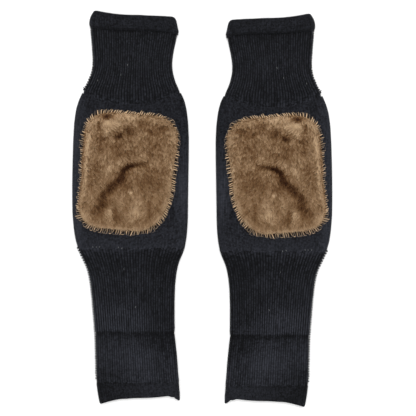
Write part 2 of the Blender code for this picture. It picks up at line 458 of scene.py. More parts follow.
def add_values(mesh, label, values):
    """A number for each vertex of a mesh, for its material to read."""
    mesh.attributes.new(label, "FLOAT", "POINT").data.foreach_set("value", values)


def wrapped_sheet(name, places, wales, courses, shades, ribbing):
    """A closed mesh through rows and columns of places, with its stitches counted in its UV map.

    The last column lies on the first one, and the row after the last one is the first.
    """
    rows, columns = places.shape[0], places.shape[1] - 1
    bm = bmesh.new()
    bmesh.ops.create_grid(bm, x_segments=columns, y_segments=rows, size=1.0)
    mesh = bpy.data.meshes.new(name)
    bm.to_mesh(mesh)
    grid = vertex_places(mesh)
    column = np.rint((grid[:, 0] + 1.0) / 2 * columns).astype(int)
    row = np.rint((grid[:, 1] + 1.0) / 2 * rows).astype(int)
    mesh.vertices.foreach_set("co", places[row % rows, column % columns].ravel())
    corner = item_numbers(mesh.loops, "vertex_index")
    stitches = np.stack([wales[column[corner]], np.append(courses, courses[0])[row[corner]]], 1)
    mesh.uv_layers.new(name="stitches").data.foreach_set("uv", stitches.ravel())
    for label, values in (("shade", shades), ("ribbing", ribbing)):
        add_values(mesh, label, values[row % rows, column % columns])
    bm.clear()
    bm.from_mesh(mesh)
    bmesh.ops.remove_doubles(bm, verts=bm.verts, dist=WELD)
    bmesh.ops.recalc_face_normals(bm, faces=bm.faces)
    if bm.calc_volume(signed=True) < 0:
        bmesh.ops.reverse_faces(bm, faces=bm.faces)
    bm.to_mesh(mesh)
    bm.free()
    mesh.shade_smooth()
    mesh.set_sharp_from_angle(angle=SHARP_END)
    return mesh


def new_piece(name, mesh, material):
    """A piece of the pair, riding on its one body."""
    mesh.materials.append(material)
    piece = add_object(name, mesh)
    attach(piece, "root")
    return piece


def full_depth(down):
    """How far the wales of plain knit stand apart down the cloth, from 0 to 1: all the way."""
    return np.ones_like(down)


def knit_piece(
        warmer, node, tube, cloth, grid, count, rows, relief, shade, material,
        depth=full_depth):
    """A knitted tube in its CAD node's place, made as the cloth all round it.

    Shade is the painted light and shade of the cloth at x and a share of the way down, and depth
    is how far its wales stand apart there. Painted shade darkens the fold on its inner side.
    """
    ring = tube_ring(**grid, **count)
    own = tube_places(tube, cloth, ring, rows, relief)
    down = rows[0][:, :1]
    length = float((tube.head - tube.foot).mean())
    courses = down[:, 0] * round(length / COURSE)
    from_fold = np.interp(own[:, :, 1], tube.ys, tube.inner) - own[:, :, 0]
    shades = shade(own[:, :, 0], down)
    shades = shades - INNER_FOLD_SHADE * bell(from_fold, 0.0, INNER_FOLD_WIDTH)
    ribbing = depth(down) + np.zeros(shades.shape)
    name = warmer.prefix + node + "_cloth"
    mesh = wrapped_sheet(name, to_world(warmer, own), ring.wale, courses, shades, ribbing)
    piece = new_piece(name, mesh, material)
    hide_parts(warmer.prefix + node)


def soft_swell(x, y):
    """The unevenness of knit that has been laid down by hand, in long low waves."""
    long_wave = np.sin(x / 17.0 + y / 23.0 + 1.0) * np.sin(y / 31.0 - x / 41.0)
    short_wave = np.sin(x / 7.3 - y / 11.0) * np.sin(y / 9.1 + x / 19.0 + 2.0)
    return LONG_SWELL * long_wave + SHORT_SWELL * short_wave


def attribute_value(tree, name):
    """A number of each vertex, as the mesh carries it."""
    return add_node(tree, "ShaderNodeAttribute", attribute_name=name).outputs["Fac"]


def knit_material(name, wale_half, stitch_depth, valley, grain):
    """Fine charcoal knit: rows of V stitches, counted by the UV map, in a slightly fuzzy yarn.

    Wale_half is the share of a UV unit that a wale takes on each side of its middle, valley is
    how much painted shade darkens the cloth between two wales, and grain is how uneven its
    stitches are.
    """
    material, tree, shader = new_material(
        name, roughness=0.85, sheen=0.05, sheen_roughness=0.45, sheen_tint=YARN_SHEEN,
        specular=0.08)

    def step(operation, *values):
        return math_node(tree, operation, *values)

    def uneven(value, strength):
        return step("MULTIPLY_ADD", value, strength, -0.5 * strength)

    place = object_place(tree)
    stitches = add_node(tree, "ShaderNodeUVMap", uv_map="stitches").outputs[0]
    parts = add_node(tree, "ShaderNodeSeparateXYZ", {0: stitches})
    wander = step("SUBTRACT", noise(tree, place, scale=420.0), 0.5)
    wale = step("MULTIPLY_ADD", wander, WALE_WANDER, parts.outputs[0])
    course = step("MULTIPLY_ADD", wander, COURSE_WANDER, parts.outputs[1])

    # Each wale is a row of Vs: two legs, and along them one loop after the other.
    middle = step("ABSOLUTE", step("SUBTRACT", step("FRACT", wale), 0.5))
    leg = step("MINIMUM", step("DIVIDE", middle, 2 * wale_half), 0.5)
    leg_round = step("POWER", step("SINE", step("MULTIPLY", leg, 2 * pi)), LEG_ROUNDNESS)
    turn = step("FRACT", step("MULTIPLY_ADD", leg, -2 * STITCH_SLANT, course))
    loop_round = step("POWER", step("SINE", step("MULTIPLY", turn, pi)), LOOP_ROUNDNESS)
    stitch = step("MULTIPLY", step("MAXIMUM", leg_round, 0.0), loop_round)
    fibres = noise(tree, place, scale=2600.0, detail=3.0)
    relief = step("MULTIPLY_ADD", fibres, FIBRE_HEIGHT, stitch)
    bump = add_node(tree, "ShaderNodeBump", {
        "Height": relief, "Strength": 0.9, "Distance": stitch_depth * MM})
    tree.links.new(bump.outputs[0], shader.inputs["Normal"])

    # Its tone differs from stitch to stitch, from wale to wale and in clouds of some millimetres.
    # Over that lie the piece's painted light and shade, and a painted highlight on each stitch.
    cell = add_node(tree, "ShaderNodeCombineXYZ", {
        0: step("FLOOR", wale), 1: step("FLOOR", course)})
    one_stitch = add_node(tree, "ShaderNodeTexWhiteNoise", {
        "Vector": cell.outputs[0]}, noise_dimensions="2D").outputs["Value"]
    along_wale = add_node(tree, "ShaderNodeCombineXYZ", {
        0: wale, 1: step("MULTIPLY", course, STREAK_STRETCH)})
    streak = noise(tree, along_wale.outputs[0], scale=0.9)
    lit = step("MULTIPLY_ADD", attribute_value(tree, "shade"), SHADE_GAIN, SHADE_BASE)
    for tone in (
            uneven(one_stitch, 0.5 * grain),
            uneven(noise(tree, place, scale=330.0, detail=4.0), 0.6),
            uneven(noise(tree, place, scale=640.0, detail=2.0), 1.3 * grain),
            uneven(streak, 0.8),
            uneven(fibres, 0.5),
            step("MULTIPLY", stitch, STITCH_SHADE)):
        lit = step("ADD", lit, tone)

    # Painted shade darkens the valleys between the wales, more in some places than in others.
    valley_shade = step("MULTIPLY_ADD", noise(tree, place, scale=60.0), BROAD_VALLEY_SHADE, LEAST_VALLEY_SHADE)
    valley_shade = step("MULTIPLY_ADD", noise(tree, place, scale=380.0), FINE_VALLEY_SHADE, valley_shade)
    valleys = step("MULTIPLY", middle, step("MULTIPLY", attribute_value(tree, "ribbing"), valley_shade))
    crest = step("MULTIPLY_ADD", valleys, -2 * valley * CREST_SHARE, CREST_SHARE)
    crest = step("MAXIMUM", crest, 0.0)
    colour = blended(tree, step("MULTIPLY", lit, crest), YARN_IN_SHADE, YARN)
    tree.links.new(colour, shader.inputs["Base Color"])
    return material


def band_relief(x, y, wale, down):
    """Two layers of knit, with the cloth drawn in a little just above the band's foot."""
    return BAND_SWELL * soft_swell(x, y) - BAND_DRAW * bell(down, 1.0, 0.16)


def band_shade(x, down):
    """The band is even, with a shadow at its foot."""
    return BAND_TONE - BAND_FOOT_SHADOW * bell(down, 1.0, 0.04)


PLAIN_FINISH = knit_material(
    "plain_knit", wale_half=0.5, stitch_depth=0.35, valley=0.45, grain=0.8)
PLAIN_COUNT = dict(wales=PLAIN_WALES, side_wales=SIDE_WALES)

for warmer in WARMERS:
    tube = read_tube(
        warmer, "top_band", DOUBLE, BAND_EASING, facing=BAND_HEAD_FACING, foot_sag=BAND_SAG)
    tube = tube._replace(head=tube.head + BAND_BULGE * ramp(tube.xs, 22.0, -16.0))
    rows = tube_rows(
        DOUBLE, BAND_ROWS, BAND_INSIDE_ROWS, head_lip=BAND_HEAD_LIP, foot_corner=BAND_FOOT_LIP)
    knit_piece(
        warmer, "top_band", tube, DOUBLE, BAND_GRID, PLAIN_COUNT, rows, band_relief,
        band_shade, PLAIN_FINISH)


# The upper cuff is 1x1 rib, one knit wale and one purl wale in turn, which gathers the cloth
# above the knee. Its 33 ribs on each face fan out towards the curved seam where the knee starts.
RIBS = 33
SIDE_RIBS = 3
RIB_RAISE = 0.75
RIB_SHARPNESS = 0.7
RIB_COUNT = dict(wales=RIBS, side_wales=SIDE_RIBS)
RIB_GRID = dict(top=8 * RIBS, side=20, under=24)
RIB_EASING = 2.5
UPPER_CUFF_ROWS = 32
UPPER_CUFF_INSIDE_ROWS = 8
UPPER_LINKING_TUCK = 0.8
UPPER_INNER_TUCK = 0.55
SEAM_RISE = 0.4
UPPER_CUFF_TONE = 0.04
UPPER_HEAD_SHADOW = 0.4
UPPER_FOOT_SHADOW = 0.24
UPPER_GROOVE_SHADOW = 0.9


def rib_wave(wale):
    """Height of the ribs at a count of ribs: a round crest between narrow valleys."""
    return RIB_RAISE * ((1.0 - np.cos(2 * pi * wale)) / 2) ** RIB_SHARPNESS


def upper_cuff_depth(down):
    """The ribs run out where the knee starts."""
    return ramp(down, 1.0, -0.13)


def upper_cuff_relief(x, y, wale, down):
    """Ribs that stand up more where they fan out."""
    strength = 0.8 + 0.3 * ramp(down, 0.5, 0.3)
    return soft_swell(x, y) + rib_wave(wale) * strength * upper_cuff_depth(down)


def upper_cuff_shade(x, down):
    """Painted shade: the cuff is darker at both ends, and darkest in the uneven groove under the
    band.
    """
    head = UPPER_HEAD_SHADOW * bell(down, 0.0, 0.12)
    foot = UPPER_FOOT_SHADOW * ramp(down, 0.84, 0.13)
    groove = UPPER_GROOVE_SHADOW * bell(down, 0.0, 0.013) * (0.7 + 0.3 * np.cos(x / 19.0))
    return UPPER_CUFF_TONE - head - foot - groove


RIB_FINISH = knit_material("rib_knit", wale_half=0.34, stitch_depth=0.4, valley=1.0, grain=1.1)
CUFF_TUBES = []

for warmer in WARMERS:
    tube = read_tube(
        warmer, "upper_cuff", SINGLE, RIB_EASING, above=("top_band", DOUBLE),
        below=("knee", SINGLE), outer_tuck=UPPER_LINKING_TUCK, inner_tuck=UPPER_INNER_TUCK,
        head_rise=SEAM_RISE, head_sag=BAND_SAG)
    rows = tube_rows(SINGLE, UPPER_CUFF_ROWS, UPPER_CUFF_INSIDE_ROWS)
    knit_piece(
        warmer, "upper_cuff", tube, SINGLE, RIB_GRID, RIB_COUNT, rows, upper_cuff_relief,
        upper_cuff_shade, RIB_FINISH, upper_cuff_depth)
    CUFF_TUBES.append((warmer, "upper_cuff", tube))


# The knee is the plain knit tube over the knee. It rises in a low dome under the plush patch,
# and the patch's stitches pull it down a little all round.
KNEE_GRID = dict(top=84, side=10, under=16)
KNEE_ROWS = 96
KNEE_INSIDE_ROWS = 12
PUCKER = 0.4
PUCKER_WIDTH = 2.6
DOME_REACH_X = 64.0
DOME_REACH_Y = 84.0
DOME_STEP = 4.0
DOME_SPREAD = 1.2
BEARINGS = 180
PATCH_RAY_LEVEL = 7.0
PATCH_SPREAD = 1.5
EDGE_TUCK = 0.8
KNEE_TONE = -0.03

Patch = namedtuple("Patch", "x y bearings reaches")

# The patch's cloth is pulled in by its stitches, here and there more than elsewhere.
Tuck = namedtuple("Tuck", "bearing half_width depth")
TUCKS = (
    Tuck(-170.0, 28.0, 2.0),
    Tuck(-55.0, 20.0, 1.8),
    Tuck(49.0, 16.0, 1.3),
    Tuck(146.0, 16.0, 1.1),
)


def read_patch(warmer):
    """The plush patch's middle and its reach at each bearing, read from its CAD node."""
    x, y = own_box(warmer, "plush_patch").mean(0)[:2]
    tree = own_tree(warmer, "plush_patch")
    bearings = np.arange(BEARINGS) / BEARINGS * 2 * pi - pi
    middle = Vector((x, y, PATCH_RAY_LEVEL))
    reaches = []
    for bearing in bearings:
        way = Vector((np.cos(bearing), np.sin(bearing), 0.0))
        reaches.append((tree.ray_cast(middle + way * RAY_START, -way)[0] - middle).length)
    reaches = smoothed(np.tile(reaches, 3), PATCH_SPREAD)[BEARINGS:2 * BEARINGS] - EDGE_TUCK
    for tuck in TUCKS:
        turn = (np.degrees(bearings) - tuck.bearing + 180.0) % 360.0 - 180.0
        reaches = reaches - tuck.depth * bell(turn, 0.0, tuck.half_width)
    return Patch(x, y, bearings, reaches)


def beyond_patch(patch, x, y):
    """How far a place lies outside the patch's edge, or inside it where below 0."""
    across, along = x - patch.x, y - patch.y
    reach = np.interp(np.arctan2(along, across), patch.bearings, patch.reaches, period=2 * pi)
    return np.hypot(across, along) - reach


def knee_heights(warmer, x, y):
    """How far the CAD knee's upper face stands above the cuffs'."""
    tree = own_tree(warmer, "knee")
    heights = np.zeros(x.shape)
    for place in np.ndindex(x.shape):
        hit = tree.ray_cast((x[place], y[place], RAY_START), (0.0, 0.0, -1.0))[0]
        heights[place] = max(0.0, hit.z - SINGLE.thickness) if hit else 0.0
    return heights


def knee_relief(warmer, patch):
    """The knee's relief: the CAD knee's dome without its facets, the cloth's swell, the pucker."""
    xs, ys = np.meshgrid(
        np.arange(-DOME_REACH_X, DOME_REACH_X + 0.1, DOME_STEP),
        np.arange(-DOME_REACH_Y, DOME_REACH_Y + 0.1, DOME_STEP))
    heights = knee_heights(warmer, xs, ys)
    for axis in (0, 1):
        heights = np.apply_along_axis(smoothed, axis, heights, DOME_SPREAD)

    def relief(x, y, wale, down):
        column = np.clip((x - xs[0, 0]) / DOME_STEP, 0.0, xs.shape[1] - 1.001)
        row = np.clip((y - ys[0, 0]) / DOME_STEP, 0.0, ys.shape[0] - 1.001)
        left, low = column.astype(int), row.astype(int)
        right_share, high_share = column - left, row - low
        dome = (
            heights[low, left] * (1 - right_share) * (1 - high_share)
            + heights[low, left + 1] * right_share * (1 - high_share)
            + heights[low + 1, left] * (1 - right_share) * high_share
            + heights[low + 1, left + 1] * right_share * high_share
        )
        out = beyond_patch(patch, x, y)
        pucker = -PUCKER * bell(out, 1.0, PUCKER_WIDTH)
        off_seams = ramp(down, 0.0, 0.05) * ramp(down, 1.0, -0.05)
        off_patch = ramp(out, -6.0, 6.0)
        return dome * off_seams + (soft_swell(x, y) + pucker) * off_patch

    return relief


def knee_shade(x, down):
    """Painted light: the knee is paler towards its side folds, and at its foot, where the cuff
    gathers it.
    """
    head = 0.06 * bell(down, 0.0, 0.16)
    outer_side = 1.0 * ramp(x, -42.0, -14.0)
    inner_side = 1.5 * ramp(x, 41.0, 13.0) * bell(down, 0.62, 0.2)
    foot = 0.26 * ramp(down, 0.75, 0.2) + 0.3 * bell(down, 1.0, 0.05)
    return KNEE_TONE + foot + outer_side + inner_side - head


PATCHES = {warmer.prefix: read_patch(warmer) for warmer in WARMERS}
KNEE_RELIEFS = {
    warmer.prefix: knee_relief(warmer, PATCHES[warmer.prefix]) for warmer in WARMERS}

for warmer in WARMERS:
    tube = read_tube(
        warmer, "knee", SINGLE, RIB_EASING, above=("upper_cuff", SINGLE),
        below=("lower_cuff", SINGLE))
    rows = tube_rows(SINGLE, KNEE_ROWS, KNEE_INSIDE_ROWS)
    knit_piece(
        warmer, "knee", tube, SINGLE, KNEE_GRID, PLAIN_COUNT, rows, KNEE_RELIEFS[warmer.prefix],
        knee_shade, PLAIN_FINISH)


# The lower cuff is the same 1x1 rib down to the calf. It was folded once for packing, which
# left a soft uneven trough across it.
LOWER_CUFF_ROWS = 54
LOWER_CUFF_INSIDE_ROWS = 10
LOWER_LINKING_TUCK = 0.5
LOWER_INNER_TUCK = 0.4
FOLD_DOWN = 0.634
FOLD_DEPTH = 1.2
FOLD_HALF_WIDTH = 0.0145
FOLD_SWELL = 0.45
FOLD_SHADOW = 2.7
LOWER_FOOT_SHADOW = 0.25
LOWER_GROOVE_SHADOW = 0.9
INNER_SIDE_SHADOW = 0.4
HOLLOW_SHADOW = 0.55


def fold_trough(x, down):
    """How deep in the fold a place is, from 0 to about 1. The fold wanders and isn't even."""
    middle = FOLD_DOWN + 0.004 * np.sin(x / 11.0) + 0.002 * np.sin(x / 4.3 + 1.0)
    deep = 0.8 + 0.12 * bell(x, -14.0, 12.0) + 0.1 * np.sin(x / 2.9)
    return deep * bell(down, middle, FOLD_HALF_WIDTH)


def lower_cuff_depth(down):
    """The ribs run out at both ends, and are flatter below the fold."""
    below_fold = ramp(down, FOLD_DOWN, 0.03)
    return ramp(down, -0.004, 0.05) * ramp(down, 1.004, -0.025) * (1.0 - 0.3 * below_fold)


def lower_cuff_relief(x, y, wale, down):
    """Ribs that stand up more below the fold, with a swell just above its trough."""
    strength = 0.85 + 0.25 * ramp(down, 0.6, 0.15)
    swell = FOLD_SWELL * bell(down, FOLD_DOWN - 0.035, 0.03)
    fold = swell - FOLD_DEPTH * fold_trough(x, down)
    return soft_swell(x, y) + rib_wave(wale) * strength * lower_cuff_depth(down) + fold


def lower_cuff_shade(x, down):
    """Painted light and shade: the cuff is palest in a slanting pool of painted light below its
    fold, and darker on its inner side.
    """
    inner_side = ramp(x, -2.0, 40.0)
    head = 0.35 * bell(down, 0.0, 0.055) + 0.35 * ramp(down, 0.12, 0.15)
    above_fold = ramp(down, 0.34 + 0.09 * inner_side, 0.17) * (1.2 - 0.85 * inner_side)
    rise = ramp(down, 0.655, 0.125)
    below_fold = ramp(down, FOLD_DOWN - 0.0075, 0.015) * (0.5 * rise + 0.5 * inner_side - 1.13)
    light_pool = rise * (0.98 - 0.55 * ramp(down, 0.83, 0.06)) * bell(x, 10.0, 17.0)
    slant = 0.8 * x / 36.0 * ramp(down, 0.76, 0.2)
    hollow = HOLLOW_SHADOW * bell(x, 31.0, 14.0) * bell(down, 0.735, 0.05)
    foot = LOWER_FOOT_SHADOW * ramp(down, 0.86, 0.07) + LOWER_GROOVE_SHADOW * bell(down, 1.0, 0.012)
    pale = head + above_fold - INNER_SIDE_SHADOW * inner_side + below_fold + light_pool - foot
    return pale + slant - hollow - FOLD_SHADOW * fold_trough(x, down) ** 1.5


for warmer in WARMERS:
    tube = read_tube(
        warmer, "lower_cuff", SINGLE, RIB_EASING, above=("knee", SINGLE),
        below=("bottom_band", SINGLE), outer_tuck=LOWER_LINKING_TUCK,
        inner_tuck=LOWER_INNER_TUCK)
    rows = tube_rows(SINGLE, LOWER_CUFF_ROWS, LOWER_CUFF_INSIDE_ROWS)
    knit_piece(
        warmer, "lower_cuff", tube, SINGLE, RIB_GRID, RIB_COUNT, rows, lower_cuff_relief,
        lower_cuff_shade, RIB_FINISH, lower_cuff_depth)
    CUFF_TUBES.append((warmer, "lower_cuff", tube))


# The bottom band is the plain end of the knitting round the calf opening. Its hem runs in a
# hollow curve, with a small tongue at the inner corner.
BOTTOM_BAND_ROWS = 18
BOTTOM_BAND_INSIDE_ROWS = 5
HEM_LIP = 1.0
HEM_DROP = 0.6
TONGUE_DROP = 1.8
HEM_WAVE = 0.15
BOTTOM_BAND_TONE = -0.2
BOTTOM_BAND_SLANT = 0.45
BOTTOM_HEAD_SHADOW = 0.25


def hem_drop(x):
    """How much lower the hem, which shows wear, hangs towards its inner side, most of all in
    its tongue.
    """
    tongue = ramp(x, 37.5, 5.0) - 0.75 * ramp(x, 45.0, 3.5)
    return HEM_DROP * ramp(x, -12.0, 10.0) + TONGUE_DROP * tongue


def bottom_band_relief(x, y, wale, down):
    """Plain knit that waves a little at its free edge."""
    return soft_swell(x, y) + HEM_WAVE * np.sin(x / 6.0) * ramp(down, 0.0, 1.0)


def bottom_band_shade(x, down):
    """Painted light and shade: the band is paler towards its inner side, with a painted shadow at
    its head.
    """
    slant = BOTTOM_BAND_SLANT * np.clip(x / 30.0, -1.0, 1.0)
    return slant + BOTTOM_BAND_TONE - BOTTOM_HEAD_SHADOW * bell(down, 0.0, 0.12)


for warmer in WARMERS:
    tube = read_tube(
        warmer, "bottom_band", SINGLE, BAND_EASING, above=("lower_cuff", SINGLE))
    tube = tube._replace(foot=tube.foot - hem_drop(tube.xs))
    rows = tube_rows(SINGLE, BOTTOM_BAND_ROWS, BOTTOM_BAND_INSIDE_ROWS, foot_lip=HEM_LIP)
    knit_piece(
        warmer, "bottom_band", tube, SINGLE, BAND_GRID, PLAIN_COUNT, rows, bottom_band_relief,
        bottom_band_shade, PLAIN_FINISH)


# Both cuffs are closed along their outer fold by linking: a row of yarn loops that cast over the
# edge and make it look like a fine saw.
LINK_PITCH = 2.44
LINK_HALF_WIDTH = 0.66
LINK_LIFT = 1.1
LINK_SLANT = 0.7
LINK_FLATTENING = 0.12
LINK_TURN = (-38.0, 58.0)
LINK_END_STEPS = 12
LINK_HEAD_MARGIN = 0.3
LINK_FOOT_MARGIN = 4.5
LINK_Y_SPREAD = 0.12
LINK_REACH_SPREAD = 0.06
LINK_WIDTH_SPREAD = 0.08
LINK_DARK = (0.004, 0.004, 0.005, 1.0)
LINK_PALE = (0.022, 0.023, 0.027, 1.0)
FUZZ_TONE = 0.5
FUZZ_HEIGHT = 0.2
YARN_SIDES = 8
YARN_RINGS = 5
YARN_TAPER = np.array([0.5, 0.95, 1.0, 0.95, 0.5])
OUTWARDS = (-1.0, 0.0, 0.0)


def yarn_template():
    """A short round yarn of unit radius that runs up z from 0 to 1."""
    bm = bmesh.new()
    bmesh.ops.create_cone(
        bm, cap_ends=True, segments=YARN_SIDES, radius1=1.0, radius2=1.0, depth=1.0)
    bmesh.ops.translate(bm, verts=bm.verts, vec=(0.0, 0.0, 0.5))
    rails = [edge for edge in bm.edges if abs(edge.verts[0].co.z - edge.verts[1].co.z) > 0.5]
    bmesh.ops.subdivide_edges(bm, edges=rails, cuts=YARN_RINGS - 2)
    return finished_mesh(bm, "yarn_template")


def unit(vectors):
    """Vectors cut to a length of 1."""
    return vectors / np.linalg.norm(vectors, axis=-1, keepdims=True)


def copies_along(
        warmer, name, template, paths, half_widths, facing, values, material):
    """A piece made of a template's copies, each bent along its own path of places.

    The template's z runs from 0 to 1 along the path. Its y faces one way, or each copy's own.
    Values name the point attributes, with a number for each copy.
    """
    shape = vertex_places(template)
    ring = np.rint(shape[:, 2] * (paths.shape[1] - 1)).astype(int)
    ahead = unit(np.gradient(paths, axis=1))
    side = unit(np.cross(np.reshape(facing, (-1, 1, 3)), ahead))
    up = np.cross(ahead, side)
    spread = shape[:, 0, None] * side[:, ring] + shape[:, 1, None] * up[:, ring]
    places = paths[:, ring] + half_widths[:, ring, None] * spread
    corners = item_numbers(template.loops, "vertex_index")
    starts = item_numbers(template.polygons, "loop_start")
    copies = np.arange(len(paths))[:, None]
    mesh = bpy.data.meshes.new(warmer.prefix + name)
    mesh.vertices.add(len(paths) * len(shape))
    mesh.vertices.foreach_set("co", to_world(warmer, places.reshape(-1, 3)).ravel())
    mesh.loops.add(len(paths) * len(corners))
    mesh.loops.foreach_set("vertex_index", (copies * len(shape) + corners).ravel())
    mesh.polygons.add(len(paths) * len(starts))
    mesh.polygons.foreach_set("loop_start", (copies * len(corners) + starts).ravel())
    mesh.update(calc_edges=True)
    if warmer.side > 0:
        mesh.flip_normals()
    for label, numbers in values.items():
        add_values(mesh, label, np.repeat(numbers, len(shape)).astype(float))
    add_values(mesh, "along", np.tile(shape[:, 2], len(paths)))
    mesh.shade_smooth()
    return new_piece(mesh.name, mesh, material)


def yarn_material(name, dark, pale, grey=None, sheen=0.1):
    """Twisted yarn or thread between two colours, by its tone, with a little fuzz.

    Where its greyness says so, its colour turns to a third one.
    """
    material, tree, shader = new_material(
        name, roughness=0.75, sheen=sheen, sheen_roughness=0.4, specular=0.15)
    place = object_place(tree)
    fuzz = noise(tree, place, scale=2500.0, detail=3.0)
    tone = math_node(tree, "MULTIPLY_ADD", fuzz, FUZZ_TONE, math_node(
        tree, "ADD", attribute_value(tree, "tone"), -FUZZ_TONE / 2))
    colour = blended(tree, tone, dark, pale)
    if grey:
        colour = blended(tree, attribute_value(tree, "greyness"), colour, grey)
    tree.links.new(colour, shader.inputs["Base Color"])
    bump = add_node(tree, "ShaderNodeBump", {
        "Height": fuzz, "Strength": 0.6, "Distance": FUZZ_HEIGHT * MM})
    tree.links.new(bump.outputs[0], shader.inputs["Normal"])
    return material


def link_paths(tube, rng):
    """A path round the outer fold for each linking loop down a cuff."""
    head = float(tube.head[:LINK_END_STEPS].mean()) - LINK_HEAD_MARGIN
    foot = float(tube.foot[:LINK_END_STEPS].mean()) + LINK_FOOT_MARGIN
    count = round((head - foot) / LINK_PITCH)
    y = np.linspace(foot, head, count) + rng.normal(0.0, LINK_Y_SPREAD, count)
    middle = SINGLE.thickness / 2 - np.interp(y, tube.ys, tube.outer)
    reach = SINGLE.thickness / 2 + LINK_LIFT + rng.normal(0.0, LINK_REACH_SPREAD, count)
    turn = np.radians(np.linspace(*LINK_TURN, YARN_RINGS))
    run = (turn / turn.max())[None, :]
    radius = reach[:, None] * (1.0 - LINK_FLATTENING * run ** 2)
    return np.stack([
        middle[:, None] - radius * np.cos(turn),
        y[:, None] + LINK_SLANT * run,
        SINGLE.thickness / 2 + radius * np.sin(turn),
    ], 2)


LINK_FINISH = yarn_material("linking_yarn", LINK_DARK, LINK_PALE)
YARN_SHAPE = yarn_template()

for warmer, node, tube in CUFF_TUBES:
    rng = np.random.default_rng(11)
    paths = link_paths(tube, rng)
    count = len(paths)
    uneven = 1.0 + rng.normal(0.0, LINK_WIDTH_SPREAD, count)
    widths = LINK_HALF_WIDTH * uneven[:, None] * YARN_TAPER
    copies_along(
        warmer, node + "_linking", YARN_SHAPE, paths, widths, OUTWARDS,
        {"tone": rng.uniform(0.2, 0.8, count)}, LINK_FINISH)


# The plush patch is a rounded piece of pile cloth laid on the front of the knee. Its edge is
# pressed flat by the overlocking, and inside that it stands up in a soft pad.
PAD_RINGS = 26
PAD_LIFT = 0.05
PAD_EDGE = 0.5
PAD_RISE = 2.1
PRESSED_WIDTH = 3.0
SHOULDER_WIDTH = 3.4
MARK_TAPER = 4.0
CREASE_DEPTH = 1.7
CREASE_WANDER = 0.7
CREASE_WAVER = 0.5
CREASE_LEAN = 0.45
DENT_DEPTH = 0.25
NAP_GAIN = 1.45
NAP_POWER = 2.4
NEAREST = 0.01
GROUND_DARK = (0.004, 0.0025, 0.0018, 1.0)
GROUND_PALE = (0.026, 0.014, 0.0075, 1.0)

# The crease is a line across the pad, with its depth and its half width at each point. A nap mark
# is a place of painted shade with a dent, or a place of painted light: its tone runs from about -1,
# dark, to 1, bright. Both are placed from the patch's middle.
CreasePoint = namedtuple("CreasePoint", "x y depth half_width")
CREASE = (
    CreasePoint(27.0, 11.0, 0.0, 1.4),
    CreasePoint(18.0, 9.2, 0.28, 1.8),
    CreasePoint(9.1, 7.4, 0.55, 2.4),
    CreasePoint(2.1, 6.3, 0.95, 3.2),
    CreasePoint(-2.9, 1.6, 0.85, 4.2),
    CreasePoint(-8.9, -7.4, 0.5, 4.8),
    CreasePoint(-16.9, -14.4, 0.5, 4.8),
    CreasePoint(-22.9, -20.4, 0.36, 5.2),
    CreasePoint(-26.4, -32.4, 0.46, 5.4),
    CreasePoint(-34.8, -43.3, 0.22, 5.0),
    CreasePoint(-40.0, -50.0, 0.0, 3.0),
)
Nap = namedtuple("Nap", "x y half_length half_width turn tone")
